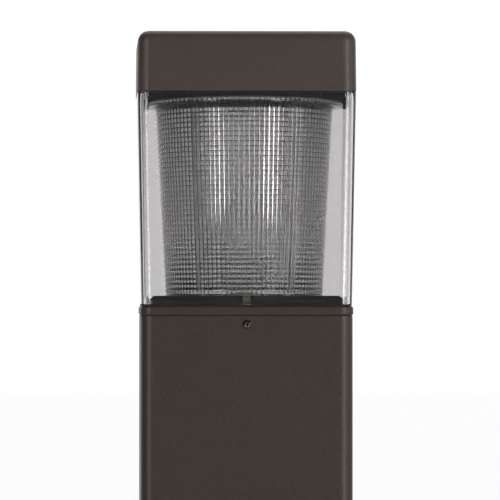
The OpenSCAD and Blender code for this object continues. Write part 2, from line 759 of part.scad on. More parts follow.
module lampholder_screws() color("#a9abad") {
    holder_screws_at() translate([0, 0, -bracket_t]) rotate([180, 0, 0])
        button_screw(fixing_head_r, fixing_head_h, holder_screw_r, bracket_t + 9, 2.5, 1.4);
    for (x = [-1, 1]) rotate([0, x * 90, 0]) translate([-x * holder_terminal_z, 0, holder_terminal_x - 2.4])
        difference() {
            cylinder(r = holder_bore_r - 0.2, h = 2.4);
            translate([-5, 1.8, 1.4]) cube([10, 1, 2]);
        }
}

// ---------- Lock screws ----------

module from_front(side) rotate(side) translate([0, -post_w / 2, lock_z]) rotate([90, 0, 0]) children();

module lock_nuts() color("#a9abad") for (side = [0, 180]) from_front(side)
    translate([0, 0, -post_wall - lock_nut_t]) difference() {
        cylinder(r = lock_nut_r, h = lock_nut_t);
        translate([0, 0, -1]) cylinder(r = lock_d / 2 + thread_gap, h = lock_nut_t + 2);
    }

module lock_washer(side) color("#222224") from_front(side) difference() {
    cylinder(r = lock_head_d / 2 + 0.3, h = lock_washer_t);
    translate([0, 0, -1]) cylinder(r = lock_d / 2 + thread_gap, h = lock_washer_t + 2);
}

module lock_screw(side) color("#c4c6c8") from_front(side) translate([0, 0, lock_washer_t])
    button_screw(lock_head_d / 2, lock_head_h, lock_d / 2, lock_reach + lock_washer_t, socket_af,
        socket_deep);

module lock_washer_front() lock_washer(0);
module lock_screw_front() lock_screw(0);
module lock_washer_back() lock_washer(180);
module lock_screw_back() lock_screw(180);

// ---------- Head: collar and optic tray ----------

// Bead's section: outer edge rounded over above and below
module bead_profile() {
    union() {
        square([bead_corner_r - bead_top_r, bead_h]);
        translate([0, bead_bottom_r]) square([bead_corner_r, bead_h - bead_bottom_r - bead_top_r]);
        square([bead_corner_r - bead_bottom_r, bead_h - bead_top_r]);
        translate([bead_corner_r - bead_top_r, bead_h - bead_top_r]) circle(bead_top_r);
        translate([bead_corner_r - bead_bottom_r, bead_bottom_r]) circle(bead_bottom_r);
    }
}

module collar() color("#3d3733") difference() {
    union() {
        translate([0, 0, bead_z]) frame_sweep(bead_w / 2 - bead_corner_r) bead_profile();
        translate([0, 0, deck_z]) linear_extrude(deck_t)
            square(bead_w - 2 * bead_corner_r + 1, center = true);
        translate([0, 0, skirt_z]) square_ring(skirt_w, skirt_corner_r, skirt_w - 2 * skirt_wall,
            skirt_corner_r - skirt_wall, bead_z - skirt_z + 1);
        translate([0, 0, post_h - lip_h]) square_ring(lip_w, post_in_r - fit_gap, skirt_w - 1,
            skirt_corner_r - 0.5, bead_z - post_h + lip_h + 1);
    }
    // hollow under the deck, out to the skirt
    translate([0, 0, skirt_z - 1]) linear_extrude(deck_z - skirt_z + 1)
        rounded_square(skirt_w - 2 * skirt_wall, skirt_corner_r - skirt_wall);
    translate([0, 0, deck_z - 1]) {
        cylinder(r = deck_hole_r, h = deck_t + 2);
        at_corners(rod_half) cylinder(r = rod_r + run_gap, h = deck_t + 2);
    }
    on_sides(notch_at) translate([0, 0, bead_z - 1]) cylinder(r = tray_screw_r + thread_gap, h = bead_h + 2);
}

module seat_gasket() color("#1f1f20") translate([0, 0, post_h])
    square_ring(post_w - 1.4, post_corner_r - 0.7, lip_w + 0.4, post_in_r - fit_gap + 0.2, seat_gasket_t);

module lens_gasket() color("#1f1f20") translate([0, 0, lens_seat_z])
    square_ring(lens_bottom_w - 0.2, lens_corner_r, lens_bottom_w - 2 * lens_wall, lens_corner_r - lens_wall,
        lens_gasket_t);

module optic_tray() color("#1b1b1d") difference() {
    union() {
        translate([0, 0, lens_seat_z]) linear_extrude(tray_upright_h) rounded_square(tray_w, tray_corner_r);
        taper(tray_w, tray_corner_r, lens_seat_z + tray_upright_h, tray_w - 2 * tray_chamfer, 4,
            lens_seat_z + tray_h);
    }
    translate([0, 0, lens_seat_z + tray_floor_t]) linear_extrude(tray_h)
        rounded_square(tray_w - 2 * tray_rim_t, 6);
    translate([0, 0, lens_seat_z - 1]) {
        cylinder(r = tray_hole_r, h = tray_h + 2);
        at_corners(rod_half) cylinder(r = rod_r + run_gap, h = tray_h + 2);
    }
    on_sides(notch_at) {
        translate([0, 0, lens_seat_z - 1]) cylinder(r = tray_screw_r + 0.3, h = tray_h + 2);
        translate([0, 0, lens_seat_z + tray_floor_t]) cylinder(r = notch_r, h = tray_h);
    }
}

module optic_tray_screws() color("#c4c6c8") on_sides(notch_at)
    translate([0, 0, lens_seat_z + tray_floor_t])
        button_screw(tray_screw_head_r, tray_screw_head_h, tray_screw_r, tray_floor_t + 6, 2.5, 1.4);

// ---------- Head: lens, refractor, top plate and cap ----------

module outer_lens() color([0.85, 0.86, 0.9, 0.35]) {
    inner_r = lens_corner_r - lens_wall;
    inner_top = lens_top_w - 2 * lens_wall;
    thicken_z = shoulder_z - thicken_h;
    difference() {
        union() {
            taper(lens_bottom_w, lens_corner_r, lens_z, lens_top_w, lens_corner_r, shoulder_z);
            translate([0, 0, shoulder_z - eps]) linear_extrude(tongue_h + eps)
                rounded_square(tongue_w, cap_corner_r - cap_wall);
        }
        taper(lens_bottom_w - 2 * lens_wall, inner_r, lens_z - eps, inner_top, inner_r, thicken_z);
        taper(inner_top, inner_r, thicken_z - 2 * eps, tongue_w - 2 * tongue_t, inner_r, shoulder_z);
        translate([0, 0, shoulder_z - 2 * eps]) linear_extrude(tongue_h + 1)
            rounded_square(tongue_w - 2 * tongue_t, inner_r);
    }
}

// Outer wall of the refractor's body, a shade of its height above the foot
function body_r(z) = refractor_foot_r + (refractor_neck_r - refractor_foot_r) * z / refractor_h;

module refractor() color([0.8, 0.82, 0.82, 0.5]) translate([0, 0, refractor_z]) rotate_extrude() {
    top_z = refractor_h - flange_t;
    fillet_z = top_z - flange_fillet_r;
    inner_top_r = body_r(top_z) - refractor_wall;
    polygon(concat(
        [[refractor_foot_r - refractor_wall, 0], [refractor_foot_r, 0]],
        [[body_r(prism_base_z), prism_base_z]],
        [for (i = [0:prism_n - 1]) let (z = prism_base_z + i * prism_pitch)
            each [[body_r(z) + 0.01, z + 0.3 * prism_pitch],
                [body_r(z) - prism_depth, z + 0.8 * prism_pitch],
                [body_r(z + prism_pitch), z + prism_pitch]]],
        [for (a = [15:15:75]) [body_r(fillet_z), fillet_z] + flange_fillet_r * [1 - cos(a), sin(a)]],
        [[body_r(fillet_z) + flange_fillet_r, top_z]],
        [[refractor_flange_r - 1.2, top_z], [refractor_flange_r, top_z + 1.2],
            [refractor_flange_r, refractor_h - 1.2], [refractor_flange_r - 1.2, refractor_h]],
        [[inner_top_r, refractor_h]]
    ));
}

module gasket_ring(z, r, w) translate([0, 0, z]) difference() {
    cylinder(r = r, h = refractor_gasket_t);
    translate([0, 0, -1]) cylinder(r = r - w, h = refractor_gasket_t + 2);
}

module refractor_foot_gasket() color("#8b8a86")
    gasket_ring(lens_seat_z + tray_floor_t, refractor_foot_r + 0.8, refractor_wall + 1.6);

module refractor_top_gasket() color("#1f1f20")
    gasket_ring(plate_z - refractor_gasket_t, refractor_flange_r - 1, flange_out + 4);

module top_plate() color("#1b1b1d") translate([0, 0, plate_z]) difference() {
    linear_extrude(plate_rim_h) rounded_square(plate_w, 6);
    translate([0, 0, plate_t]) linear_extrude(plate_rim_h) rounded_square(plate_w - 2 * plate_t, 6 - plate_t);
    translate([0, 0, -1]) at_corners(rod_half) cylinder(r = rod_r + run_gap, h = plate_t + 2);
}

rod_bottom_z = deck_z - washer_t - nut_h - rod_end;
rod_top_z = plate_z + plate_t + rod_grip;

module tie_rods() color("#c4c6c8") at_corners(rod_half) translate([0, 0, rod_bottom_z])
    cylinder(r = rod_r, h = rod_top_z - rod_bottom_z);

module rod_washers() color("#c4c6c8") for (z = [deck_z - washer_t, plate_z - washer_t])
    at_corners(rod_half) translate([0, 0, z]) difference() {
        cylinder(r = washer_r, h = washer_t);
        translate([0, 0, -1]) cylinder(r = rod_r + thread_gap, h = washer_t + 2);
    }

module rod_nuts_lower() color("#c4c6c8") at_corners(rod_half)
    translate([0, 0, deck_z - washer_t - nut_h]) hex_nut(nut_r, nut_h, rod_r + thread_gap);

module rod_nuts_upper() color("#c4c6c8") at_corners(rod_half)
    translate([0, 0, plate_z - washer_t - nut_h]) hex_nut(nut_r, nut_h, rod_r + thread_gap);

module cap_gasket() color("#1f1f20") translate([0, 0, shoulder_z])
    square_ring(lens_top_w - 0.6, lens_corner_r, cap_in + 0.2, cap_corner_r - cap_wall, cap_gasket_t);

// Four rings at the top corners and four discs at the foot, wrapped: the cap's outer form
module cap_form(w, corner_r, edge_r, draft, z0, z1) hull() {
    corner_discs(w, corner_r, z0);
    at_corners(w / 2 - draft - corner_r) translate([0, 0, z1 - edge_r]) rotate_extrude($fn = hull_fn)
        translate([corner_r - edge_r, 0]) intersection() {
            circle(edge_r, $fn = hull_fn);
            square(edge_r + 1);
        }
}

module cap() color("#3d3733") difference() {
    union() {
        difference() {
            cap_form(cap_w, cap_corner_r, cap_edge_r, cap_draft, cap_edge_z, overall_h);
            cap_form(cap_in, cap_corner_r - cap_wall, cap_edge_r - cap_wall, cap_draft, cap_edge_z - 1,
                overall_h - cap_wall);
        }
        at_corners(rod_half) translate([0, 0, plate_z + plate_t])
            cylinder(r = boss_r, h = overall_h - cap_wall - plate_z - plate_t + 1);
    }
    at_corners(rod_half) translate([0, 0, plate_z])
        cylinder(r = rod_r + thread_gap, h = plate_t + cap_bore_h);
}

// ---------- Lamp ----------

glass_z = lamp_z + contact_h + insulator_h + screw_base_h - skirt_h;
crown_z = lamp_z + lamp_l;

// The bulb's outer form, or its hollow when drawn in by the wall
module bulb_solid(wall) {
    r = bulb_r - wall;
    n = neck_r - wall;
    dome_z = crown_z - glass_z - bulb_r;
    waist_z = neck_h + (bulb_r - neck_r) * 1.6;
    translate([0, 0, glass_z]) rotate_extrude() union() {
        polygon([[0, 0], [n, 0], [n, neck_h], [r, waist_z], [r, dome_z], [0, dome_z]]);
        intersection() {
            translate([0, dome_z]) circle(r);
            translate([0, dome_z - eps]) square(r + 1);
        }
    }
}

module lamp_envelope() color([0.9, 0.92, 0.93, 0.3]) difference() {
    bulb_solid(0);
    bulb_solid(bulb_wall);
    translate([0, 0, glass_z - 1]) cylinder(r = neck_r - bulb_wall, h = 3);
}

arc_z = lamp_z + 87;
arc_r = 6.5;
arc_l = 26;
pinch_h = 9;
pinch_t = 3;

module lamp_arc_tube() color([0.93, 0.94, 0.95, 0.6]) translate([0, 0, arc_z]) {
    rotate_extrude() intersection() {
        union() {
            translate([0, -arc_l / 2 + arc_r]) square([arc_r, arc_l - 2 * arc_r]);
            for (end = [-1, 1]) translate([0, end * (arc_l / 2 - arc_r)]) circle(arc_r);
        }
        translate([0, -arc_l]) square([arc_r + 1, 2 * arc_l]);
    }
    for (end = [-1, 1]) translate([0, 0, end * (arc_l / 2 + pinch_h / 2 - 1)])
        cube([8, pinch_t, pinch_h], center = true);
}

// The stem: a flare sealed to the neck, drawn up to a flat press that grips the two wires
stem_h = 26;
press_w = 12;
press_t = 4;
wire_r = 0.7;
wire_in_x = 3.5;
wire_out_x = 11;
stem_top_z = glass_z + stem_h;

module lamp_stem() color([0.88, 0.9, 0.9, 0.5]) difference() {
    union() {
        translate([0, 0, glass_z]) rotate_extrude() polygon([
            [0, 3], [neck_r - bulb_wall - 0.05, 0], [neck_r - bulb_wall - 0.05, 1.5], [5, 8], [3, stem_h - 6],
            [0, stem_h - 6]
        ]);
        translate([-press_w / 2, -press_t / 2, stem_top_z - 12]) cube([press_w, press_t, 12]);
    }
    for (x = [-1, 1]) translate([x * wire_in_x, 0, stem_top_z - 8]) cylinder(r = wire_r + 0.02, h = 10);
}

// Two wires out of the press, bent outward and up to a strap under and over the arc tube
module lamp_frame() color("#b9bbbd") {
    low_z = arc_z - arc_l / 2 - pinch_h + 1;
    top_z = arc_z + arc_l / 2 + pinch_h - 1;
    knee_z = stem_top_z + 2;
    for (x = [-1, 1]) {
        translate([x * wire_in_x, 0, stem_top_z - 8]) cylinder(r = wire_r, h = 10);
        translate([x * wire_in_x, 0, knee_z]) rotate([0, x * 90, 0])
            cylinder(r = wire_r, h = wire_out_x - wire_in_x);
        translate([x * wire_out_x, 0, knee_z]) cylinder(r = wire_r, h = (x > 0 ? top_z : low_z) - knee_z);
    }
    translate([-wire_out_x - wire_r, -wire_r, low_z - 1.2]) cube([wire_out_x + wire_r + 2, 2 * wire_r, 1.2]);
    translate([-2, -wire_r, top_z]) cube([wire_out_x + wire_r + 2, 2 * wire_r, 1.2]);
}

// The screw shell: a rolled wall that widens into a skirt round the glass
module lamp_base() color("#c9a94c") translate([0, 0, lamp_z + contact_h + insulator_h]) {
    t = 0.6;
    bell_z = screw_base_h - skirt_h - 3;
    skirt_r = neck_r + 0.05;
    rotate_extrude() polygon([
        [7, 0], [screw_base_r, 0], [screw_base_r, bell_z], [skirt_r + t, screw_base_h - skirt_h],
        [skirt_r + t, screw_base_h], [skirt_r, screw_base_h], [skirt_r, screw_base_h - skirt_h],
        [screw_base_r - t, bell_z], [screw_base_r - t, t], [7, t]
    ]);
}

module lamp_insulator() color("#1a1a1c") translate([0, 0, lamp_z + contact_h]) rotate_extrude() polygon([
    [1, 0], [5, 0], [screw_base_r - 1.5, insulator_h], [6.95, insulator_h], [6.95, insulator_h + 1.2],
    [1, insulator_h + 1.2]
]);

module lamp_contact() color("#b9bbbd") translate([0, 0, lamp_z]) {
    cylinder(r1 = 3, r2 = 4.4, h = contact_h);
    cylinder(r = 0.95, h = contact_h + 4);
}

post_tube();
anchor_base();
base_screws();
gear_tray();
tray_foot_screws();
ballast_core();
ballast_primary();
ballast_secondary();
ballast_bolts();
capacitor_can();
capacitor_terminals();
capacitor_clamp();
ignitor();
terminal_block();
terminal_screws();
gear_fixings();
ground_lug();
lead_supply();
lead_ballast();
lead_ignitor();
lead_lamp_live();
lead_lamp_neutral();
lead_ground();
leads_capacitor();
lampholder_bracket();
bracket_screws();
lampholder_body();
lampholder_shell();
lampholder_contact();
lampholder_screws();
lock_nuts();
collar();
seat_gasket();
lens_gasket();
outer_lens();
optic_tray();
optic_tray_screws();
refractor_foot_gasket();
refractor();
refractor_top_gasket();
top_plate();
tie_rods();
rod_nuts_lower();
rod_nuts_upper();
rod_washers();
cap_gasket();
cap();
lamp_envelope();
lamp_arc_tube();
lamp_frame();
lamp_stem();
lamp_base();
lamp_insulator();
lamp_contact();
lock_washer_front();
lock_screw_front();
lock_washer_back();
lock_screw_back();
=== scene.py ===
"""Looks of the square bollard light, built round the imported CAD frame.

Metres, +Z up, front towards -Y. Places come from the frame's own boxes; the sizes named here are those
of surface detail that the CAD leaves plain: the refractor's flutes, screw threads, windings and so on.
"""

import math

import bmesh
import bpy
from mathutils import Matrix, Vector


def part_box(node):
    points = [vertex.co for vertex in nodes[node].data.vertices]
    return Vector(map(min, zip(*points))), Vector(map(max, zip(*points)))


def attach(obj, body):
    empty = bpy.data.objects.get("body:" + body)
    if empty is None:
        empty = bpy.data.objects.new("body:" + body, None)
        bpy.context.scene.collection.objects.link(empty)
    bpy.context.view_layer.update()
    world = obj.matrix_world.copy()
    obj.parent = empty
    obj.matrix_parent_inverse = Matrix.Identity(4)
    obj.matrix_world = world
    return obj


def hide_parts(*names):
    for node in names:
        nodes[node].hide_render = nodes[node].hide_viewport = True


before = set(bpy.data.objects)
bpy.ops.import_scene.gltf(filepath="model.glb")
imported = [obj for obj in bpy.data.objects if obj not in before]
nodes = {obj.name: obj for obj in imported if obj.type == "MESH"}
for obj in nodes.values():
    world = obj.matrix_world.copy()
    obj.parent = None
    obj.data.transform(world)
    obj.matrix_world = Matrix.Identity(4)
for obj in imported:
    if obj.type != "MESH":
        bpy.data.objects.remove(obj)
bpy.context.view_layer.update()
scene = bpy.context.scene

MM = 0.001

# ---------------------------------------------------------------- camera

AXIS_TO_CAMERA = 5.0
EYE_BEARING = -1.72
EYE_HEIGHT = 0.809
AIM_HEIGHT = 0.8581
AIM_RIGHT = 0.0058
FOCAL = 368.9


def add_camera():
    """A long lens level with the foot of the glass, a touch to the left of square on."""
    data = bpy.data.cameras.new("view")
    data.lens = FOCAL
    data.sensor_width = 36.0
    data.clip_end = 200.0
    camera = bpy.data.objects.new("view", data)
    scene.collection.objects.link(camera)
    turn = math.radians(EYE_BEARING)
    ahead = Vector((-math.sin(turn), math.cos(turn), 0.0))
    aim = Vector((math.cos(turn), math.sin(turn), 0.0)) * AIM_RIGHT
    aim.z = AIM_HEIGHT
    eye = aim - ahead * AXIS_TO_CAMERA
    eye.z = EYE_HEIGHT
    camera.location = eye
    camera.rotation_euler = (aim - eye).to_track_quat("-Z", "Y").to_euler()
    scene.camera = camera


# ---------------------------------------------------------------- light and stage

def add_area(name, bearing, height, distance, size, power, colour=(1.0, 1.0, 1.0), aim_z=0.9):
    """A soft box on a bearing in degrees, 0 at the camera and positive to its right."""
    data = bpy.data.lights.new(name, "AREA")
    data.shape = "RECTANGLE"
    data.size, data.size_y = size
    data.energy = power
    data.color = colour
    light = bpy.data.objects.new(name, data)
    scene.collection.objects.link(light)
    turn = math.radians(bearing)
    place = Vector((math.sin(turn) * distance, -math.cos(turn) * distance, height))
    light.location = place
    light.rotation_euler = (Vector((0.0, 0.0, aim_z)) - place).to_track_quat("-Z", "Y").to_euler()
    return light


# brightness of the room against how far ahead of the camera it lies: 0 behind it, 0.5 beside, 1 ahead
ROOM = ((0.0, 0.10), (0.5, 0.05), (0.70, 0.30), (0.84, 0.90), (0.92, 1.0))
ROOM_AHEAD = (0.17, 0.985, 0.0)
# how the room dims overhead: from full at a low rise to this share at a high one
ROOM_OVERHEAD = (("From Min", 0.15), ("From Max", 0.60), ("To Min", 1.0), ("To Max", 0.45))
BACKDROP = 1.05


def add_world():
    """White to the camera; to everything else a room that is bright ahead of the camera and dim beside it."""
    world = bpy.data.worlds.new("studio")
    scene.world = world
    world.use_nodes = True
    tree = world.node_tree
    tree.nodes.clear()
    out = tree.nodes.new("ShaderNodeOutputWorld")
    seen = tree.nodes.new("ShaderNodeBackground")
    seen.inputs["Color"].default_value = (1.0, 1.0, 1.0, 1.0)
    seen.inputs["Strength"].default_value = BACKDROP
    room = tree.nodes.new("ShaderNodeBackground")
    where = tree.nodes.new("ShaderNodeTexCoord")
    split = tree.nodes.new("ShaderNodeSeparateXYZ")
    tree.links.new(where.outputs["Generated"], split.inputs["Vector"])
    ramp = tree.nodes.new("ShaderNodeValToRGB")
    stops = ramp.color_ramp.elements
    while len(stops) < len(ROOM):
        stops.new(0.5)
    for stop, (place, level) in zip(stops, ROOM):
        stop.position = place
        stop.color = (level, level, level * 1.01, 1.0)
    halve = tree.nodes.new("ShaderNodeMapRange")
    halve.inputs["From Min"].default_value = -1.0
    ahead = tree.nodes.new("ShaderNodeVectorMath")
    ahead.operation = "DOT_PRODUCT"
    ahead.inputs[1].default_value = ROOM_AHEAD
    tree.links.new(where.outputs["Generated"], ahead.inputs[0])
    tree.links.new(ahead.outputs["Value"], halve.inputs["Value"])
    tree.links.new(halve.outputs["Result"], ramp.inputs["Fac"])
    tree.links.new(ramp.outputs["Color"], room.inputs["Color"])
    overhead = tree.nodes.new("ShaderNodeMapRange")
    for key, value in ROOM_OVERHEAD:
        overhead.inputs[key].default_value = value
    tree.links.new(split.outputs["Z"], overhead.inputs["Value"])
    tree.links.new(overhead.outputs["Result"], room.inputs["Strength"])
    path = tree.nodes.new("ShaderNodeLightPath")
    mix = tree.nodes.new("ShaderNodeMixShader")
    tree.links.new(path.outputs["Is Camera Ray"], mix.inputs["Fac"])
    tree.links.new(room.outputs["Background"], mix.inputs[1])
    tree.links.new(seen.outputs["Background"], mix.inputs[2])
    tree.links.new(mix.outputs["Shader"], out.inputs["Surface"])


def add_floor(material):
    """A flat sheet that reaches far past the object on every side."""
    half = 40.0
    mesh = bpy.data.meshes.new("floor")
    corners = [(-half, -half, 0.0), (half, -half, 0.0), (half, half, 0.0), (-half, half, 0.0)]
    mesh.from_pydata(corners, [], [(0, 1, 2, 3)])
    floor = bpy.data.objects.new("floor", mesh)
    scene.collection.objects.link(floor)
    mesh.materials.append(material)


# ---------------------------------------------------------------- material helpers

class Nodes:
    """A new material and short calls to add its nodes."""

    def __init__(self, name, **inputs):
        self.material = bpy.data.materials.new(name)
        self.material.use_nodes = True
        self.tree = self.material.node_tree
        self.shader = self.tree.nodes["Principled BSDF"]
        for key, value in inputs.items():
            self.shader.inputs[key.replace("_", " ")].default_value = value
        self.where = self.tree.nodes.new("ShaderNodeTexCoord").outputs["Object"]

    def link(self, source, target):
        self.tree.links.new(source, target)

    def add(self, kind, **inputs):
        node = self.tree.nodes.new(kind)
        for key, value in inputs.items():
            node.inputs[key.replace("_", " ")].default_value = value
        return node

    def scaled(self, x, y, z):
        """The place on the object, stretched along each axis."""
        mapping = self.add("ShaderNodeMapping", Scale=(x, y, z))
        self.link(self.where, mapping.inputs["Vector"])
        return mapping.outputs["Vector"]

    def noise(self, scale, detail=3.0, roughness=0.55, distortion=0.0, where=None):
        node = self.add("ShaderNodeTexNoise", Scale=scale, Detail=detail, Roughness=roughness,
                        Distortion=distortion)
        self.link(where or self.where, node.inputs["Vector"])
        return node.outputs["Fac"]

    def cells(self, scale, where=None, output="Color"):
        node = self.add("ShaderNodeTexVoronoi", Scale=scale)
        self.link(where or self.where, node.inputs["Vector"])
        return node.outputs[output]

    def wave(self, scale, direction="Z", distortion=0.0, where=None):
        node = self.add("ShaderNodeTexWave", Scale=scale, Distortion=distortion, Detail=2.0)
        node.bands_direction = direction
        self.link(where or self.where, node.inputs["Vector"])
        return node.outputs["Fac"]

    def ramp(self, fac, *stops):
        node = self.add("ShaderNodeValToRGB")
        elements = node.color_ramp.elements
        while len(elements) < len(stops):
            elements.new(0.5)
        for element, (place, colour) in zip(elements, stops):
            element.position = place
            element.color = (*colour, 1.0)
        self.link(fac, node.inputs["Fac"])
        return node.outputs["Color"]

    def between(self, fac, low, high, from_low=0.0, from_high=1.0):
        node = self.add("ShaderNodeMapRange")
        node.inputs["From Min"].default_value = from_low
        node.inputs["From Max"].default_value = from_high
        node.inputs["To Min"].default_value = low
        node.inputs["To Max"].default_value = high
        self.link(fac, node.inputs["Value"])
        return node.outputs["Result"]

    def mix(self, fac, a, b, blend="MIX"):
        node = self.tree.nodes.new("ShaderNodeMix")
        node.data_type = "RGBA"
        node.blend_type = blend
        for socket, value in ((node.inputs[0], fac), (node.inputs[6], a), (node.inputs[7], b)):
            if isinstance(value, (int, float)):
                socket.default_value = value
            elif isinstance(value, tuple):
                socket.default_value = (*value, 1.0)
            else:
                self.link(value, socket)
        return node.outputs[2]

    def bump(self, height, distance, strength=1.0, after=None):
        node = self.add("ShaderNodeBump", Strength=strength, Distance=distance)
        self.link(height, node.inputs["Height"])
        if after:
            self.link(after, node.inputs["Normal"])
        return node.outputs["Normal"]

    def to(self, **sockets):
        for key, source in sockets.items():
            self.link(source, self.shader.inputs[key.replace("_", " ")])
        return self.material


def shade(colour, factor):
    return tuple(min(1.0, c * factor) for c in colour)


# ---------------------------------------------------------------- materials

def powder_coat(name, colour, warm, peel=0.00018):
    """Dark bronze powder coat: a fine orange peel, tiny flecks and a slight drift of tone."""
    m = Nodes(name, IOR=1.45, Specular_IOR_Level=0.42)
    drift = m.noise(7.0, detail=2.0)
    fleck = m.noise(900.0, detail=2.0, roughness=0.7)
    base = m.mix(m.between(drift, 0.0, 1.0, 0.35, 0.65), colour, warm)
    flecked = m.mix(m.between(fleck, 0.0, 0.55, 0.45, 0.75), base, shade(warm, 1.9))
    peel_map = m.noise(420.0, detail=2.0, roughness=0.5)
    grit = m.noise(1500.0, detail=1.0)
    return m.to(Base_Color=flecked,
                Roughness=m.between(m.noise(60.0), 0.36, 0.46),
                Normal=m.bump(grit, peel * 0.3, after=m.bump(peel_map, peel)))


def matt_black(name, low, high):
    """Matt black sheet: a cloudy tone and a fine grain."""
    m = Nodes(name, Specular_IOR_Level=0.22)
    tone = m.noise(35.0, detail=4.0)
    return m.to(Base_Color=m.ramp(tone, (0.35, low), (0.7, high)),
                Roughness=m.between(m.noise(140.0), 0.62, 0.8),
                Normal=m.bump(m.noise(700.0), 0.00008))


def painted_dark_polish(name):
    """Polished steel with its colour painted dark, a painted dark reflection standing for the dim room a
    bright head mirrors: a dark mirror with fine turning marks and handling wear.
    """
    m = Nodes(name, Metallic=1.0)
    marks = m.noise(900.0, detail=2.0)
    worn = m.noise(300.0, detail=4.0)
    wear = m.between(worn, 0.0, 0.6, 0.55, 0.8)
    # painted shade: the dark base stands in for the dim room reflected in a bright steel head
    return m.to(Base_Color=m.mix(wear, (0.10, 0.095, 0.09), (0.30, 0.29, 0.28)),
                Roughness=m.between(marks, 0.10, 0.2), Normal=m.bump(marks, 0.00001))


def clear_plastic(name):
    """Moulded clear lens: faint flow waves and a trace of haze."""
    m = Nodes(name, Base_Color=(0.782, 0.768, 0.774, 1.0), IOR=1.53, Transmission_Weight=1.0)
    flow = m.noise(9.0, detail=1.0, where=m.scaled(1.0, 1.0, 0.25))
    haze = m.noise(38.0, detail=5.0, roughness=0.65)
    return m.to(Roughness=m.between(haze, 0.0, 0.035, 0.3, 0.8), Normal=m.bump(flow, 0.0002))


def prism_glass(name):
    """Pressed glass: clear, with the slight waviness of a pressing."""
    m = Nodes(name, Base_Color=(1.0, 1.0, 0.995, 1.0), IOR=1.51, Transmission_Weight=1.0)
    wave = m.noise(60.0, detail=2.0)
    return m.to(Roughness=m.between(m.noise(180.0), 0.09, 0.15), Normal=m.bump(wave, 0.00012))


def lamp_glass(name, tint, rough=0.0):
    """Blown glass or quartz, faintly uneven."""
    m = Nodes(name, Base_Color=(*tint, 1.0), IOR=1.47, Transmission_Weight=1.0)
    return m.to(Roughness=m.between(m.noise(90.0), rough, rough + 0.03),
                Normal=m.bump(m.noise(40.0, detail=1.0), 0.0001))


def rubber(name, colour):
    """Sponge rubber with dust in its skin."""
    m = Nodes(name, Specular_IOR_Level=0.3)
    dust = m.noise(160.0, detail=4.0)
    return m.to(Base_Color=m.mix(m.between(dust, 0.0, 0.35, 0.5, 0.9), colour, shade(colour, 3.0)),
                Roughness=m.between(dust, 0.62, 0.85), Normal=m.bump(m.noise(900.0), 0.0001))


def bright_steel(name, tint=(0.56, 0.57, 0.58), rough=0.22):
    """Turned stainless steel: fine marks and a little variation in polish."""
    m = Nodes(name, Metallic=1.0, Anisotropic=0.3)
    marks = m.noise(600.0, detail=3.0, where=m.scaled(0.2, 0.2, 4.0))
    return m.to(Base_Color=m.mix(m.between(m.noise(80.0), 0.0, 0.5), tint, shade(tint, 0.75)),
                Roughness=m.between(marks, rough, rough + 0.16), Normal=m.bump(marks, 0.00004))


def zinc_plate(name):
    """Zinc plate with a straw-coloured bloom."""
    m = Nodes(name, Metallic=1.0)
    bloom = m.noise(220.0, detail=4.0)
    colour = m.ramp(bloom, (0.3, (0.50, 0.51, 0.53)), (0.6, (0.62, 0.63, 0.64)), (0.8, (0.56, 0.55, 0.47)))
    return m.to(Base_Color=colour, Roughness=m.between(bloom, 0.28, 0.46),
                Normal=m.bump(m.noise(700.0), 0.00005))


def galvanised(name):
    """Hot-dip galvanised sheet: spangles of different shine, and soft white bloom."""
    m = Nodes(name, Metallic=1.0)
    spangle = m.cells(140.0)
    grey = m.ramp(spangle, (0.0, (0.42, 0.44, 0.46)), (0.5, (0.55, 0.57, 0.58)), (1.0, (0.68, 0.69, 0.70)))
    bloom = m.noise(30.0, detail=5.0)
    return m.to(Base_Color=m.mix(m.between(bloom, 0.0, 0.3, 0.55, 0.85), grey, (0.72, 0.73, 0.74)),
                Roughness=m.between(spangle, 0.3, 0.52), Normal=m.bump(m.noise(500.0), 0.00006))


def cast_alloy(name):
    """Bare cast alloy: a pitted skin and dark stains."""
    m = Nodes(name, Metallic=0.85)
    skin = m.noise(260.0, detail=5.0, roughness=0.7)
    stain = m.noise(14.0, detail=4.0)
    stained = m.between(stain, 0.0, 0.5, 0.45, 0.8)
    return m.to(Base_Color=m.mix(stained, (0.42, 0.42, 0.41), (0.24, 0.235, 0.22)),
                Roughness=m.between(skin, 0.5, 0.75), Normal=m.bump(skin, 0.0004))


def laminations(name):
    """Stack of silicon steel sheets with a blue-black oxide and varnish runs."""
    m = Nodes(name, Metallic=0.8)
    sheets = m.wave(640.0, "Y", distortion=0.4)
    tone = m.noise(50.0, detail=4.0)
    colour = m.ramp(tone, (0.3, (0.07, 0.075, 0.085)), (0.6, (0.13, 0.13, 0.135)), (0.8, (0.20, 0.15, 0.11)))
    return m.to(Base_Color=colour, Roughness=m.between(tone, 0.35, 0.6), Normal=m.bump(sheets, 0.00015))


def varnished_wire(name, colour):
    """Enamelled copper wire under a coat of varnish."""
    m = Nodes(name, Metallic=0.9, Coat_Weight=0.6, Coat_Roughness=0.15)
    tone = m.noise(120.0, detail=3.0)
    return m.to(Base_Color=m.mix(tone, colour, shade(colour, 0.6)), Roughness=m.between(tone, 0.25, 0.4),
                Normal=m.bump(m.wave(500.0, "Z"), 0.0002))


def warm_metal(name, colour, rough=0.25):
    """Brass and tinned brass: tarnish gathers in patches."""
    m = Nodes(name, Metallic=1.0)
    tarnish = m.noise(130.0, detail=5.0, roughness=0.65)
    return m.to(Base_Color=m.mix(m.between(tarnish, 0.0, 0.7, 0.45, 0.85), colour, shade(colour, 0.45)),
                Roughness=m.between(tarnish, rough, rough + 0.25), Normal=m.bump(m.noise(800.0), 0.00004))


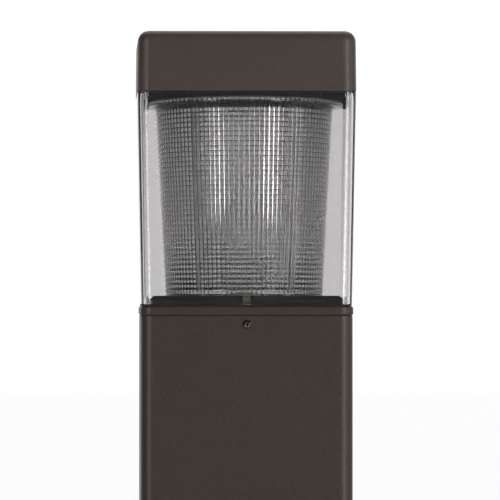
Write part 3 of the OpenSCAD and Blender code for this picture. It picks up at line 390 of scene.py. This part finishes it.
def moulded(name, colour, rough=0.45):
    """Moulded plastic or painted metal: a fine eroded texture."""
    m = Nodes(name)
    grain = m.noise(900.0, detail=2.0)
    tone = m.noise(25.0, detail=3.0)
    return m.to(Base_Color=m.mix(m.between(tone, 0.0, 0.4), colour, shade(colour, 0.8)),
                Roughness=m.between(grain, rough - 0.06, rough + 0.1), Normal=m.bump(grain, 0.0001))


def porcelain(name):
    """Glazed porcelain: a warm drift of tone under a clear coat."""
    m = Nodes(name, Coat_Weight=0.8, Coat_Roughness=0.06, Subsurface_Weight=0.05)
    tone = m.noise(18.0, detail=3.0)
    pits = m.cells(260.0, output="Distance")
    return m.to(Base_Color=m.mix(m.between(tone, 0.0, 0.5), (0.80, 0.78, 0.72), (0.70, 0.67, 0.60)),
                Roughness=m.between(tone, 0.16, 0.3), Normal=m.bump(pits, 0.00003))


def floor_painted_shade_and_glow(name):
    """White paper: pale where the object stands, with painted shade far in front of it and a painted glow
    well behind it.
    """
    m = Nodes(name, Emission_Color=(1.0, 1.0, 1.0, 1.0))
    split = m.tree.nodes.new("ShaderNodeSeparateXYZ")
    m.link(m.where, split.inputs["Vector"])
    # painted shade: the floor darkens far in front, standing in for the dim room there
    front = m.between(split.outputs["Y"], 0.0, 1.0, -11.0, -6.0)
    # painted light: the floor glows well behind, so the far floor looks as white as the lit backdrop
    behind = m.between(split.outputs["Y"], 0.0, 0.8, 2.5, 8.0)
    tone = m.noise(1.3, detail=3.0)
    paper = m.ramp(tone, (0.3, (0.86, 0.86, 0.865)), (0.7, (0.9, 0.9, 0.9)))
    return m.to(Base_Color=m.mix(front, (0.08, 0.08, 0.08), paper), Emission_Strength=behind,
                Roughness=m.between(tone, 0.75, 0.85), Normal=m.bump(m.noise(300.0), 0.0001))


# ---------------------------------------------------------------- mesh helpers

def smooth_by_angle(mesh, angle=35.0):
    """Smooth faces, with edges that turn by more than the angle left sharp."""
    bm = bmesh.new()
    bm.from_mesh(mesh)
    limit = math.radians(angle)
    for face in bm.faces:
        face.smooth = True
    for edge in bm.edges:
        edge.smooth = len(edge.link_faces) == 2 and edge.calc_face_angle(0.0) < limit
    bm.to_mesh(mesh)
    bm.free()


def new_piece(name, points, faces, body, material, angle=35.0, node=None):
    mesh = bpy.data.meshes.new(name)
    mesh.from_pydata(points, [], faces)
    mesh.update()
    bm = bmesh.new()
    bm.from_mesh(mesh)
    bmesh.ops.recalc_face_normals(bm, faces=bm.faces)
    bm.to_mesh(mesh)
    bm.free()
    smooth_by_angle(mesh, angle)
    mesh.materials.append(material)
    piece = bpy.data.objects.new(name, mesh)
    scene.collection.objects.link(piece)
    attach(piece, body)
    if node:
        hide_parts(node)
    return piece


def loop_faces(start, rows, columns, close=False):
    """Quads of a tube of rows by columns points; close joins the last row to the first."""
    faces = []
    for i in range(rows if close else rows - 1):
        j = (i + 1) % rows
        for k in range(columns):
            n = (k + 1) % columns
            faces.append((start + i * columns + k, start + i * columns + n,
                          start + j * columns + n, start + j * columns + k))
    return faces


def rounded_square(half, radius, z, corner_steps=12):
    """Points of a rounded square, anticlockwise."""
    points = []
    for quarter in range(4):
        turn = math.radians(90.0 * quarter)
        centre = Vector((math.copysign(1, math.cos(turn + math.pi / 4)),
                         math.copysign(1, math.sin(turn + math.pi / 4)))) * (half - radius)
        for step in range(corner_steps + 1):
            a = turn + math.radians(90.0 * step / corner_steps)
            points.append((centre.x + radius * math.cos(a), centre.y + radius * math.sin(a), z))
    return points


def loft(name, loops, body, material, node, angle=35.0):
    """A closed shell through loops of points of one length, the last joined to the first."""
    points = [point for loop in loops for point in loop]
    faces = loop_faces(0, len(loops), len(loops[0]), close=True)
    return new_piece(name, points, faces, body, material, angle, node)


def turned(name, rows, columns, places, body, material, node, closed=False, angle=35.0):
    """Turned shells, one at each place. A row is (radius, z), or a function of the angle that gives it."""
    points, faces = [], []
    for place in places:
        start = len(points)
        for row in rows:
            for k in range(columns):
                a = 2.0 * math.pi * k / columns
                r, z = row(a) if callable(row) else row
                points.append(place @ Vector((r * math.cos(a), r * math.sin(a), z)))
        faces += loop_faces(start, len(rows), columns, close=closed)
        if not closed:
            faces.append(tuple(range(start, start + columns)))
            faces.append(tuple(range(len(points) - columns, len(points))))
    return new_piece(name, points, faces, body, material, angle, node)


def sharp_thread(r, depth, pitch, z):
    return lambda a: (r - depth * abs(2.0 * ((z / pitch - a / (2.0 * math.pi)) % 1.0) - 1.0), z)


def rolled_thread(r, depth, pitch, z):
    return lambda a: (r - depth * (0.5 - 0.5 * math.cos(2.0 * math.pi * z / pitch - a)), z)


def hexagon(across, z):
    return lambda a: (across / 2 / math.cos(a % (math.pi / 3) - math.pi / 6), z)


def steps(low, high, step):
    count = max(1, round((high - low) / step))
    return [low + (high - low) * i / count for i in range(count + 1)]


# ---------------------------------------------------------------- the refractor

FOOT_R = 76.2 * MM
NECK_R = 86.4 * MM
GLASS_WALL = 5.0 * MM
FOOT_BAND = 9.3 * MM
FLANGE_T = 4.0 * MM
FLANGE_FILLET = 5.0 * MM
PRISM_PITCH = 4.68 * MM
# one ring prism: share of the pitch, and how far out in mm; a steep lower face, a round nose, a long slope
RING = ((0.02, -0.85), (0.08, -0.48), (0.14, -0.05), (0.20, 0.27), (0.27, 0.43), (0.36, 0.45), (0.48, 0.37),
        (0.62, 0.20), (0.76, -0.04), (0.88, -0.32), (0.96, -0.62))
FLUTES = 106
FLUTE_DEPTH = 1.3 * MM
FLUTE_SHIFT = 0.4 * MM
FLUTE_STEPS = 8
FLANGE_EDGE = 1.4 * MM
FOOT_EDGE = 0.6 * MM
BEAD_OUT = 0.9 * MM
BEAD_HALF = 1.6 * MM
BEAD_INSET = 0.3 * MM
TOP_LIP = 1.2 * MM
FOOT_LIP = 9.0 * MM


def build_refractor(material):
    """Ring prisms outside, upright flutes inside, a plain foot band and a smooth flange."""
    low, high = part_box("refractor")
    height = high.z - low.z
    flange_r = high.x

    def body_r(z):
        return FOOT_R + (NECK_R - FOOT_R) * z / height

    flange_z = height - FLANGE_T
    fillet_z = flange_z - FLANGE_FILLET
    count = int((fillet_z - FOOT_BAND) / PRISM_PITCH)
    prism_z = fillet_z - count * PRISM_PITCH
    outline = [(body_r(0.0) - FOOT_EDGE, 0.0), (body_r(0.0), FOOT_EDGE)]
    for share in (0.3, 0.5):
        outline.append((body_r(prism_z * share), prism_z * share))
    # a low bead round the foot band
    bead_z = prism_z * 0.62
    for a in range(0, 181, 30):
        turn = math.radians(a)
        outline.append((body_r(bead_z) + BEAD_OUT * math.sin(turn) - BEAD_INSET,
                        bead_z - BEAD_HALF * math.cos(turn)))
    outline.append((body_r(prism_z) - 0.2 * MM, prism_z))
    for i in range(count):
        z = prism_z + i * PRISM_PITCH
        for share, out in RING:
            outline.append((body_r(z) + out * MM, z + share * PRISM_PITCH))
    outline.append((body_r(fillet_z), fillet_z))
    for a in range(15, 91, 15):
        turn = math.radians(a)
        outline.append((body_r(fillet_z) + FLANGE_FILLET * (1.0 - math.cos(turn)),
                        fillet_z + FLANGE_FILLET * math.sin(turn)))
    for a in range(-90, 91, 30):
        turn = math.radians(a)
        middle = flange_z + FLANGE_EDGE if a < 0 else height - FLANGE_EDGE
        outline.append((flange_r - FLANGE_EDGE + FLANGE_EDGE * math.cos(turn),
                        middle + FLANGE_EDGE * math.sin(turn)))
    inner_top_r = body_r(flange_z) - GLASS_WALL
    columns = FLUTES * FLUTE_STEPS
    points = []
    for r, z in outline:
        for k in range(columns):
            a = 2.0 * math.pi * k / columns
            points.append((r * math.cos(a), r * math.sin(a), low.z + z))
    # the inside, top to bottom, fluted but for a smooth lip at each end
    inner = [(inner_top_r, height, 0.0), (inner_top_r, height - TOP_LIP, 1.0)]
    for z in (height - 9.0 * MM, height * 0.5, 14.0 * MM):
        inner.append((body_r(z) - GLASS_WALL, z, 1.0))
    inner += [(body_r(FOOT_LIP) - GLASS_WALL, FOOT_LIP, 0.0), (FOOT_R - GLASS_WALL, 0.0, 0.0)]
    for r, z, fluted in inner:
        for k in range(columns):
            a = 2.0 * math.pi * k / columns
            scallop = abs(math.sin(math.pi * (k % FLUTE_STEPS) / FLUTE_STEPS))
            deep = r - fluted * FLUTE_DEPTH * scallop + fluted * FLUTE_SHIFT
            points.append((deep * math.cos(a), deep * math.sin(a), low.z + z))
    faces = loop_faces(0, len(outline) + len(inner), columns, close=True)
    return new_piece("refractor_glass", points, faces, "head", material, 28.0, "refractor")


# ---------------------------------------------------------------- the lens

LENS_WALL = 4.0 * MM
LENS_CORNER = 11.5 * MM
LENS_TAPER = 7.6 * MM
TONGUE = 7.3 * MM
TONGUE_T = 2.0 * MM
TONGUE_CORNER = 9.5 * MM
TONGUE_INSET = 3.4 * MM
LENS_EDGE = 0.5 * MM


def build_lens(material):
    """Smooth tapered shell with eased edges, a shoulder under the cap and a tongue inside it."""
    low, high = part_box("outer_lens")
    shoulder = high.z - TONGUE
    top = high.x
    foot = top - LENS_TAPER / 2
    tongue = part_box("cap")[1].x - TONGUE_INSET
    corner_in = LENS_CORNER - LENS_WALL
    ease = LENS_EDGE
    sections = [
        (foot - ease, LENS_CORNER - ease, low.z),
        (foot, LENS_CORNER, low.z + ease),
        (top, LENS_CORNER, shoulder - ease),
        (top - ease, LENS_CORNER - ease, shoulder),
        (tongue, TONGUE_CORNER, shoulder),
        (tongue, TONGUE_CORNER, high.z),
        (tongue - TONGUE_T, corner_in, high.z),
        (tongue - TONGUE_T, corner_in, shoulder),
        (top - LENS_WALL - 0.35 * MM, corner_in, shoulder - 9.0 * MM),
        (foot - LENS_WALL, corner_in, low.z + ease),
        (foot - LENS_WALL + ease, corner_in + ease, low.z),
    ]
    loops = [rounded_square(half, radius, z, 16) for half, radius, z in sections]
    return loft("lens_shell", loops, "head", material, "outer_lens", 30.0)


# ---------------------------------------------------------------- screws, lamp cap and coils

LOCK_HEAD_H = 2.4 * MM
LOCK_HEAD_R = 4.2 * MM
LOCK_THREAD_R = 2.4 * MM
LOCK_SOCKET = 3.0 * MM
TRAY_HEAD_H = 2.4 * MM
TRAY_HEAD_R = 4.0 * MM
TRAY_THREAD_R = 1.9 * MM
TRAY_SOCKET = 2.5 * MM
SCREW_PITCH = 0.8 * MM
THREAD_DEPTH = 0.45 * MM
CAP_PITCH = 25.4 / 7 * MM


def screw_rows(head_r, head_h, thread_r, length, across):
    """A button head with a hexagon socket over a threaded shank; z is 0 under the head."""
    dome = (head_r * head_r + head_h * head_h) / (2 * head_h)
    tip = -length + 0.5 * MM
    rows = [(0.2 * MM, -length), (thread_r - 0.6 * MM, -length)]
    for z in steps(tip, -0.5 * MM, SCREW_PITCH / 5):
        rows.append(sharp_thread(thread_r, THREAD_DEPTH, SCREW_PITCH, z))
    rows += [(thread_r, -0.2 * MM), (head_r - 0.15 * MM, 0.0), (head_r, 0.12 * MM)]
    for share in (0.97, 0.9, 0.8, 0.7, 0.6):
        r = head_r * share
        rows.append((r, head_h - dome + math.sqrt(dome * dome - r * r)))
    rim = across * 0.62
    rim_z = head_h - dome + math.sqrt(dome * dome - rim * rim)
    rows += [(rim, rim_z), hexagon(across, rim_z - 0.12 * MM), hexagon(across, head_h - 1.4 * MM),
             (0.2 * MM, head_h - 1.55 * MM)]
    return rows


def build_lock_screws(material):
    """The two screws that lock the head, each with its head outwards."""
    for side, sign in (("front", -1), ("back", 1)):
        low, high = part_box("lock_screw_" + side)
        y = low.y + LOCK_HEAD_H if sign < 0 else high.y - LOCK_HEAD_H
        place = Matrix.Translation(((low.x + high.x) / 2, y, (low.z + high.z) / 2))
        place = place @ Matrix.Rotation(math.radians(-90.0 * sign), 4, "X")
        length = high.y - low.y - LOCK_HEAD_H
        rows = screw_rows(LOCK_HEAD_R, LOCK_HEAD_H, LOCK_THREAD_R, length, LOCK_SOCKET)
        turned("lock_screw_%s_threaded" % side, rows, 36, [place], side + "_screw", material,
               "lock_screw_" + side)


def build_tray_screws(material):
    """The four screws that hold the tray down, one at the middle of each side."""
    low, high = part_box("optic_tray_screws")
    out = high.x - TRAY_HEAD_R
    length = high.z - low.z - TRAY_HEAD_H
    rows = screw_rows(TRAY_HEAD_R, TRAY_HEAD_H, TRAY_THREAD_R, length, TRAY_SOCKET)
    places = [Matrix.Translation((x, y, high.z - TRAY_HEAD_H))
              for x, y in ((out, 0.0), (0.0, out), (-out, 0.0), (0.0, -out))]
    turned("tray_screws_threaded", rows, 36, places, "head", material,
           "optic_tray_screws")


def build_lamp_base(material):
    """The lamp's screw cap: a rolled thread, a bell and a skirt round the glass."""
    low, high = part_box("lamp_base")
    height = high.z - low.z
    skirt = high.x
    thread_r, depth, sheet = 12.9 * MM, 0.75 * MM, 0.45 * MM
    bell = height - 9.0 * MM
    zs = steps(1.4 * MM, bell - 1.0 * MM, CAP_PITCH / 10)
    rows = [(7.0 * MM, 0.0), (11.8 * MM, 0.0)]
    rows += [rolled_thread(thread_r, depth, CAP_PITCH, z) for z in zs]
    flare = bell + 3.0 * MM
    skirt_in = skirt - 0.55 * MM
    rows += [(thread_r, bell), (skirt, flare), (skirt, height - 0.2 * MM), (skirt - 0.2 * MM, height),
             (skirt_in, height), (skirt_in, flare), (thread_r - sheet, bell)]
    rows += [rolled_thread(thread_r - sheet, depth, CAP_PITCH, z) for z in reversed(zs)]
    rows += [(11.4 * MM, 0.5 * MM), (7.0 * MM, 0.5 * MM)]
    place = Matrix.Translation((0.0, 0.0, low.z))
    turned("lamp_base_threaded", rows, 72, [place], "lamp", material, "lamp_base", closed=True)


def build_holder_shell(material):
    """The lampholder's screw shell, rolled to the same thread."""
    low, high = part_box("lampholder_shell")
    height = high.z - low.z
    outer, depth, sheet = high.x, 0.5 * MM, 0.55 * MM
    zs = steps(2.0 * MM, height - 2.0 * MM, CAP_PITCH / 10)
    rows = [(6.0 * MM, 0.0), (outer - 0.8 * MM, 0.0)]
    rows += [rolled_thread(outer, depth, CAP_PITCH, z) for z in zs]
    inner = outer - sheet
    rim = height - 0.4 * MM
    rows += [(outer, rim), (outer, height), (inner, height), (inner, rim)]
    rows += [rolled_thread(inner, depth, CAP_PITCH, z) for z in reversed(zs)]
    rows += [(outer - 1.3 * MM, 0.55 * MM), (6.0 * MM, 0.55 * MM)]
    place = Matrix.Translation((0.0, 0.0, low.z))
    turned("holder_shell_threaded", rows, 72, [place], "post", material,
           "lampholder_shell", closed=True)


def rounded_loop(middle, half_x, half_y, radius, z):
    """Points of a rounded oblong, anticlockwise."""
    points = []
    for quarter, (sx, sy) in enumerate(((1, 1), (-1, 1), (-1, -1), (1, -1))):
        for step in range(9):
            a = math.radians(90.0 * quarter + 90.0 * step / 8)
            points.append((middle.x + sx * (half_x - radius) + radius * math.cos(a),
                           middle.y + sy * (half_y - radius) + radius * math.sin(a), z))
    return points


COIL_CORNER = 8.0 * MM
COIL_TAPE = 1.5 * MM
COIL_END_INSET = 1.0 * MM


def build_coil(name, node, material, wire=1.5 * MM):
    """A coil of enamelled wire in level turns, between taped ends."""
    low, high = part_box(node)
    middle = (low + high) / 2
    half = (high - low) / 2
    leg_x, leg_y = 14.63 * MM, 20.3 * MM
    loops = [rounded_loop(middle, half.x - COIL_END_INSET, half.y - COIL_END_INSET, COIL_CORNER, low.z)]
    wound = 2 * half.z - 2 * COIL_TAPE
    turns = max(2, round(wound / wire))
    pitch = wound / turns
    for turn in range(turns):
        for share, inset in ((0.02, 0.75), (0.2, 0.2), (0.5, 0.0), (0.8, 0.2), (0.98, 0.75)):
            z = low.z + COIL_TAPE + (turn + share) * pitch
            loops.append(rounded_loop(middle, half.x - inset * MM, half.y - inset * MM, COIL_CORNER, z))
    loops.append(rounded_loop(middle, half.x - COIL_END_INSET, half.y - COIL_END_INSET, COIL_CORNER, high.z))
    loops.append(rounded_loop(middle, leg_x, leg_y, 0.6 * MM, high.z))
    loops.append(rounded_loop(middle, leg_x, leg_y, 0.6 * MM, low.z))
    return loft(name, loops, "post", material, node, 40.0)


# ---------------------------------------------------------------- assembly

BRONZE = (0.0300, 0.0226, 0.0172)
BRONZE_WARM = (0.0350, 0.0244, 0.0190)
# the cap's bronze is the post's bronze painted about 1.4 times lighter: painted light, for the cap being lit
# more strongly than the post
PAINTED_LIT_CAP_BRONZE = (0.0430, 0.0335, 0.0285)
PAINTED_LIT_CAP_WARM = (0.0500, 0.0360, 0.0310)

add_camera()
add_world()
add_area("key_right", 37.0, 1.2, 2.4, (0.76, 1.8), 33.0, (1.0, 0.985, 0.965))
add_area("strip_left", -39.0, 1.2, 2.4, (0.58, 1.8), 21.0)
add_area("side_right", 75.0, 1.2, 2.4, (0.75, 1.8), 8.0)
add_area("front_top", 0.0, 3.0, 1.7, (1.6, 1.0), 3.0, aim_z=1.0)
add_area("top", 180.0, 3.2, 1.2, (2.4, 2.0), 27.0, aim_z=1.0)
add_floor(floor_painted_shade_and_glow("floor_painted_shade_and_glow"))

bronze = powder_coat("bronze_powder_coat", BRONZE, BRONZE_WARM)
stainless = bright_steel("stainless")
# the tie rods' steel is painted far lighter than stainless: painted light, so the rods do not mirror the dark
# room
rod_steel_painted_light = bright_steel("rods_painted_light", (0.90, 0.90, 0.89), 0.42)
lock_steel_painted_dark = painted_dark_polish("steel_painted_dark")
brass = warm_metal("brass", (0.62, 0.42, 0.14))
nickel = bright_steel("nickel_plate", (0.50, 0.50, 0.48), 0.25)
primary = varnished_wire("primary_winding", (0.62, 0.26, 0.10))
secondary = varnished_wire("secondary_winding", (0.72, 0.38, 0.16))
LOOKS = {
    bronze: ["post_tube", "collar"],
    # the cap's coat: the post's bronze painted lighter, as painted light
    powder_coat("cap_powder_coat_painted_lit", PAINTED_LIT_CAP_BRONZE, PAINTED_LIT_CAP_WARM): ["cap"],
    cast_alloy("cast_alloy"): ["anchor_base"],
    powder_coat("bronze_screw_coat", BRONZE, BRONZE_WARM, 0.00005): ["base_screws"],
    galvanised("galvanised_sheet"): ["gear_tray", "lampholder_bracket", "capacitor_clamp"],
    zinc_plate("zinc_plate"): ["tray_foot_screws", "ballast_bolts", "gear_fixings", "bracket_screws",
                               "lock_nuts"],
    laminations("core_laminations"): ["ballast_core"],
    primary: ["ballast_primary"],
    secondary: ["ballast_secondary"],
    bright_steel("drawn_can", (0.60, 0.61, 0.62), 0.3): ["capacitor_can"],
    warm_metal("tinned_brass", (0.72, 0.69, 0.58)): ["capacitor_terminals", "lamp_contact"],
    moulded("black_plastic", (0.02, 0.021, 0.023)): ["ignitor"],
    moulded("cream_plastic", (0.66, 0.63, 0.54)): ["terminal_block"],
    brass: ["terminal_screws", "lampholder_shell", "lampholder_contact", "lampholder_screws"],
    nickel: ["lamp_base"],
    moulded("green_enamel", (0.05, 0.24, 0.06), 0.3): ["ground_lug"],
    moulded("wire_black", (0.012, 0.012, 0.013), 0.35): ["lead_supply", "lead_lamp_live"],
    moulded("wire_blue", (0.02, 0.07, 0.32), 0.35): ["lead_ballast"],
    moulded("wire_white", (0.70, 0.68, 0.64), 0.35): ["lead_ignitor", "lead_lamp_neutral"],
    moulded("wire_green", (0.03, 0.22, 0.05), 0.35): ["lead_ground"],
    moulded("wire_red", (0.45, 0.03, 0.02), 0.35): ["leads_capacitor"],
    porcelain("porcelain"): ["lampholder_body"],
    rubber("black_gasket", (0.012, 0.012, 0.012)): ["seat_gasket", "lens_gasket", "cap_gasket",
                                                    "lock_washer_front", "lock_washer_back"],
    rubber("grey_gasket", (0.24, 0.235, 0.225)): ["refractor_foot_gasket", "refractor_top_gasket"],
    matt_black("matt_black", (0.040, 0.0398, 0.0396), (0.056, 0.0556, 0.0552)): ["top_plate"],
    matt_black("tray_black", (0.075, 0.076, 0.078), (0.105, 0.106, 0.108)): ["optic_tray"],
    rod_steel_painted_light: ["tie_rods"],
    stainless: ["optic_tray_screws", "rod_nuts_lower", "rod_nuts_upper", "rod_washers"],
    lock_steel_painted_dark: ["lock_screw_front", "lock_screw_back"],
    lamp_glass("lamp_glass", (0.97, 0.98, 0.98)): ["lamp_envelope", "lamp_stem"],
    lamp_glass("quartz", (0.96, 0.97, 1.0), 0.05): ["lamp_arc_tube"],
    bright_steel("nickel_wire", (0.60, 0.58, 0.54)): ["lamp_frame"],
    moulded("vitrite", (0.01, 0.01, 0.014), 0.2): ["lamp_insulator"],
}
for material, names in LOOKS.items():
    for name in names:
        slots = nodes[name].data.materials
        slots.clear()
        slots.append(material)

build_refractor(prism_glass("prism_glass"))
build_lens(clear_plastic("clear_plastic"))
build_lock_screws(lock_steel_painted_dark)
build_tray_screws(stainless)
build_lamp_base(nickel)
build_holder_shell(brass)
build_coil("primary_turns", "ballast_primary", primary)
build_coil("secondary_turns", "ballast_secondary", secondary)

scene.view_settings.view_transform = "Standard"
